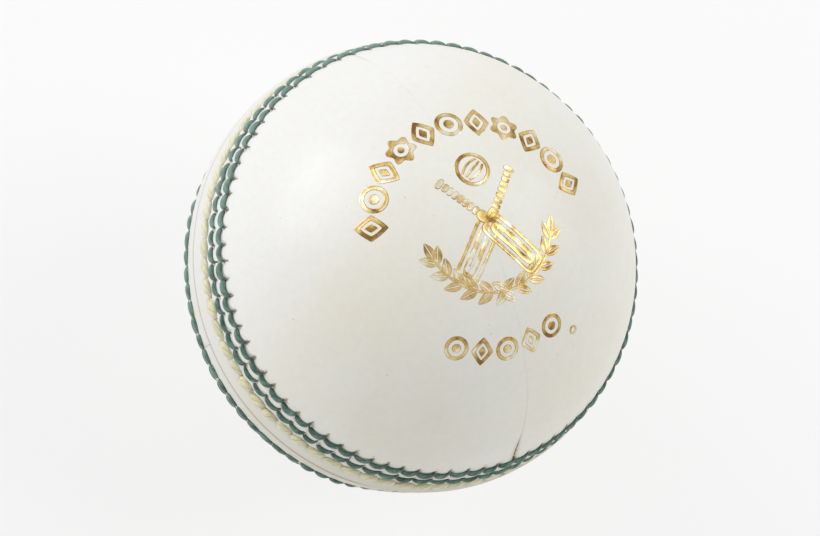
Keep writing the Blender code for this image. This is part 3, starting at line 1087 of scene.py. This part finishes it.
def onStamp(points, lift):
    # A flat point at distance d and direction t from the middle goes to the arc crown - d and the
    # azimuth of up turned by t, at the leather's own height there plus the lift.
    x, y = points[..., 0], points[..., 1]
    arc = toCrown - np.hypot(x, y)
    azimuth = stamp["up"] + np.arctan2(-x, y)
    height, _ = leatherLift(azimuth, arc, 1)
    return onBall(azimuth, arc, height + lift)


class FoilSheet:
    # Gathers the points, faces and edge marks of every shape of the stamp.
    def __init__(self):
        self.points, self.marks, self.faces, self.total = [], [], [], 0

    def add(self, flat, lifts, marks, wrap):
        # A grid of flat points (across x along), with a lift and an edge mark for each line across.
        rows, columns = flat.shape[:2]
        raised = onStamp(flat, np.broadcast_to(np.asarray(lifts)[:, None], (rows, columns)))
        self.points.append(raised.reshape(-1, 3))
        self.marks.append(np.repeat(marks, columns))
        self.faces += (gridFaces(rows, columns, wrapColumns=wrap) + self.total).tolist()
        self.total += rows * columns


def bandLifts(over):
    # Heights across a band: pressed edges, a raised line just inside each, a level middle.
    high, drop = stamp["lift"] + over, stamp["edgeDrop"]
    return [high - drop, high + 0.015, high + 0.022, high, high, high + 0.022, high + 0.015, high - drop]


# How much of the painted edge shade each line across a band takes: most at the pressed edges.
bandMarks = np.array([1.0, 0.8, 0.2, 0.0, 0.0, 0.2, 0.8, 1.0])


def turned(points, degrees):
    # Flat points turned about the middle of the sheet.
    angle = math.radians(degrees)
    cos, sin = math.cos(angle), math.sin(angle)
    return points @ np.array([[cos, sin], [-sin, cos]])


def band(sheet, outer, inner, middle, turn=0.0, over=0.0, steps=40):
    # Foil between two outlines about one middle. Each outline gives a radius for a direction; an
    # inner one of None makes a solid shape, whose middle is one small face.
    angle = np.linspace(0, fullTurn, steps, endpoint=False)
    far = outer(angle) * np.ones(steps)
    near = (inner(angle) if inner else stamp["pin"]) * np.ones(steps)
    width = np.minimum(stamp["rim"], 0.25 * (far - near))
    radii = np.stack([
        near, near + 0.3 * width, near + 0.7 * width, near + 1.4 * width,
        far - 1.4 * width, far - 0.7 * width, far - 0.3 * width, far,
    ])
    lifts, marks = bandLifts(over), bandMarks.copy()
    if not inner:
        lifts[:3] = [lifts[3]] * 3
        marks[:3] = 0
    flat = np.stack([radii * np.cos(angle), radii * np.sin(angle)], axis=-1)
    sheet.add((turned(flat, turn) + np.asarray(middle))[::-1], lifts[::-1], marks[::-1], True)
    if not inner:
        sheet.faces.append(list(range(sheet.total - steps, sheet.total)))


def ribbon(sheet, path, halfWidth, over=0.0):
    # A strip of foil along a flat path, as wide as halfWidth says at each of its points.
    path = np.asarray(path, float)
    heading = unit(np.gradient(path, axis=0))
    sideways = np.stack([-heading[:, 1], heading[:, 0]], axis=1)
    across = np.array([-1, -0.9, -0.7, -0.35, 0.35, 0.7, 0.9, 1])[:, None, None]
    wide = (np.asarray(halfWidth) * np.ones(len(path)))[:, None]
    flat = path + across * wide * sideways
    sheet.add(flat, bandLifts(over), bandMarks, False)


def roundOutline(radius):
    # The same radius all round.
    return lambda angle: radius + 0 * angle


def boxOutline(halfLength, halfWidth, power):
    # Superellipse: power 1 is a lozenge, 2 an ellipse and 6 a box with round corners.
    return lambda angle: (
        np.abs(np.cos(angle) / halfLength) ** power + np.abs(np.sin(angle) / halfWidth) ** power
    ) ** (-1 / power)


def petalOutline(radius, petals, depth):
    # A radius that dips by a cosine, twice the depth at most, between the petals.
    return lambda angle: radius * (1 - depth + depth * np.cos(petals * angle))


def motif(sheet, kind, middle, turn, size):
    # One ornament of an arc: a lozenge, a roundel or a rosette, each a broad rim round a smaller
    # solid shape.
    def lozenge(half, other):
        return boxOutline(half * size, other * size, 1.15)
    if kind == "lozenge":
        band(sheet, lozenge(1, 0.80), lozenge(0.60, 0.44), middle, turn)
        band(sheet, lozenge(0.40, 0.26), None, middle, turn)
    elif kind == "roundel":
        band(sheet, roundOutline(0.86 * size), roundOutline(0.56 * size), middle, turn)
        band(sheet, roundOutline(0.33 * size), None, middle, turn)
    else:
        band(sheet, petalOutline(0.95 * size, 6, 0.13), roundOutline(0.42 * size), middle, turn, steps=60)
        band(sheet, roundOutline(0.22 * size), None, middle, turn)


def polar(radius, angle):
    # The flat point at a radius in a direction.
    return radius * math.cos(angle), radius * math.sin(angle)


def arcOfMotifs(sheet, values):
    # Ornaments spaced evenly along an arc about the middle, each turned to face out from it.
    half, kinds = values["spread"] / 2, values["kinds"]
    for k, turn in enumerate(np.linspace(-half, half, values["count"])):
        angle = math.radians(values["middle"] + values["way"] * turn)
        middle = polar(values["radius"], angle)
        motif(sheet, kinds[k % len(kinds)], middle, math.degrees(angle), values["size"])


# A bat's parts: the place of each along it, its outline, the outline inside that, and its steps.
batParts = [
    (-4.9, (5.6, 2.05, 7), (4.9, 1.45, 7), 72),
    (-4.9, (4.5, 1.05, 5), (4.1, 0.18, 5), 64),
    (1.4, (1.2, 0.95, 2), None, 36),
    *((2.85 + 0.96 * k, (0.42, 0.74, 4), None, 20) for k in range(7)),
    (9.7, (0.5, 0.95, 3), None, 24),
]


def bat(sheet, turn, over):
    # A bat seen face on: a long rounded blade with a line down it, shoulders and a bound handle.
    for place, outer, inner, steps in batParts:
        middle = turned(np.array([[place, 0.0]]), turn)[0] + np.array(stamp["crossing"])
        band(sheet, boxOutline(*outer), inner and boxOutline(*inner), middle, turn, over, steps)


def leaf(sheet, foot, turn, length):
    # A leaf whose half width is a sine of its length, with a bare line down its middle.
    t = np.linspace(0, 1, 14)
    half = 0.24 * length * np.sin(math.pi * t ** 0.8)
    for side in (1, -1):
        line = np.stack([length * t, side * (0.5 * half + 0.07)], axis=1)
        ribbon(sheet, turned(line, turn) + np.asarray(foot), 0.5 * half + 0.012)


def sprig(sheet, side):
    # A stem that curves up one side of the bats, with pairs of leaves along it and one at its end.
    angles = np.radians(np.linspace(270 - 8 * side, 270 + 72 * side, 30))
    stem = np.stack([0.6 + 10.6 * np.cos(angles), 0.4 + 10.6 * np.sin(angles)], axis=1)
    ribbon(sheet, stem, 0.24)
    for k in range(2, 30, 5):
        for spread in (38, -38):
            leaf(sheet, stem[k], math.degrees(angles[k]) + 90 * side + spread, 2.9)
    leaf(sheet, stem[-1], math.degrees(angles[-1]) + 90 * side, 2.8)


def goldStamp():
    # An arc of ornaments over a pair of crossed bats with a ball above them and a sprig on each
    # side, a shorter arc below, and one dot beyond it.
    sheet = FoilSheet()
    arcOfMotifs(sheet, stamp["upperArc"])
    arcOfMotifs(sheet, stamp["lowerArc"])
    bat(sheet, 52, 0.0)
    bat(sheet, 128, 0.026)
    band(sheet, *map(roundOutline, stamp["ballRadii"]), stamp["ballPlace"])
    t = np.linspace(-1, 1, 16)
    for side in (-0.5, 0.0, 0.5):
        line = np.stack([1.85 * t, 1.3 * side + 0.45 * (1 - t**2) * np.sign(side)], axis=1)
        ribbon(sheet, turned(line, 35) + np.array(stamp["ballPlace"]), 0.2)
    sprig(sheet, 1)
    sprig(sheet, -1)
    dot = stamp["dot"]
    spot = polar(dot["radius"], math.radians(270 + dot["turn"]))
    band(sheet, roundOutline(dot["size"]), roundOutline(0.5 * dot["size"]), spot)
    piece = makeObject("gold_stamp", np.concatenate(sheet.points), sheet.faces, [finishes["foil"]])
    setAttribute(piece, "edge", np.concatenate(sheet.marks))


goldStamp()
print("stamp made")

studio = {
    "cameraPlace": (-0.26548, -0.03228, 0.67492),
    "cameraRight": (0.8700, -0.3716, 0.3241),
    "cameraUp": (0.3311, 0.9273, 0.1745),
    "lens": 200,
    "floorSize": 6.0,
    "floorHeight": -0.0359,
    "floorColour": 0.35,
    "floorGlow": 0.608,  # evens out the shade round the ball
    "worldStrength": 0.67,
    "keyPlace": (-1.5, 1.22, 0.88),  # to the picture's right, up it and towards the camera
    "keySize": 1.6,
    "keyPower": 26,
    "fillPlace": (1.8, 0.8, 0.75),
    "fillSize": 1.4,
    "fillPower": 14,
}


imageRight, imageUp = Vector(studio["cameraRight"]), Vector(studio["cameraUp"])
imageBack = imageRight.cross(imageUp)


def fromCamera(right, up, back):
    # A place given along the picture's right, the picture's up and towards the camera, in metres.
    return imageRight * right + imageUp * up + imageBack * back


def makeCamera():
    # A long lens at its place, whose axes are the picture's right, its up and the way back.
    camera = newObject("camera", bpy.data.cameras.new("camera"))
    turn = Matrix((imageRight, imageUp, imageBack)).transposed().to_4x4()
    camera.matrix_world = Matrix.Translation(studio["cameraPlace"]) @ turn
    camera.data.lens = studio["lens"]
    camera.data.sensor_width = 36
    camera.data.clip_start = 0.01
    camera.data.clip_end = 50
    bpy.context.scene.camera = camera


def areaLight(name, place, size, power):
    # A square soft box that faces the ball.
    lamp = bpy.data.lights.new(name, "AREA")
    lamp.size = size
    lamp.energy = power
    item = newObject(name, lamp)
    item.location = place
    item.rotation_mode = "QUATERNION"
    item.rotation_quaternion = (-Vector(place)).to_track_quat("-Z", "Y")


def makeFloor():
    # A pale sheet that is seen from above only, so the ball's underside can be looked at too.
    half = studio["floorSize"] / 2 / mm
    height = studio["floorHeight"] / mm
    corners = np.array([(x * half, y * half, height) for x, y in ((-1, -1), (1, -1), (1, 1), (-1, 1))])
    mesh = bpy.data.meshes.new("floor")
    mesh.from_pydata((corners * mm).tolist(), [], [(0, 1, 2, 3)])
    finish, tree, shader = newMaterial("paleFloor")
    fill(tree, shader, {
        "Base Color": (studio["floorColour"],) * 3,
        "Emission Color": (1, 1, 1),
        "Emission Strength": studio["floorGlow"],
        "Roughness": 0.9,
        "Specular IOR Level": 0.1,
    })
    clear = addNode(tree, "ShaderNodeBsdfTransparent").outputs[0]
    behind = addNode(tree, "ShaderNodeNewGeometry").outputs["Backfacing"]
    chosen = addNode(tree, "ShaderNodeMixShader", {0: behind, 1: shader.outputs[0], 2: clear})
    fill(tree, tree.nodes["Material Output"], {"Surface": chosen.outputs[0]})
    mesh.materials.append(finish)
    newObject("floor", mesh)


def makeWorld():
    # An even white light from all round.
    world = bpy.data.worlds.new("studio")
    world.use_nodes = True
    strength = studio["worldStrength"]
    fill(world.node_tree, world.node_tree.nodes["Background"], {"Color": (1, 1, 1), "Strength": strength})
    bpy.context.scene.world = world


makeCamera()
areaLight("keyLight", fromCamera(*studio["keyPlace"]), studio["keySize"], studio["keyPower"])
areaLight("fillLight", fromCamera(*studio["fillPlace"]), studio["fillSize"], studio["fillPower"])
makeFloor()
makeWorld()
bpy.context.scene.view_settings.view_transform = "Standard"
print("camera, light and floor made")
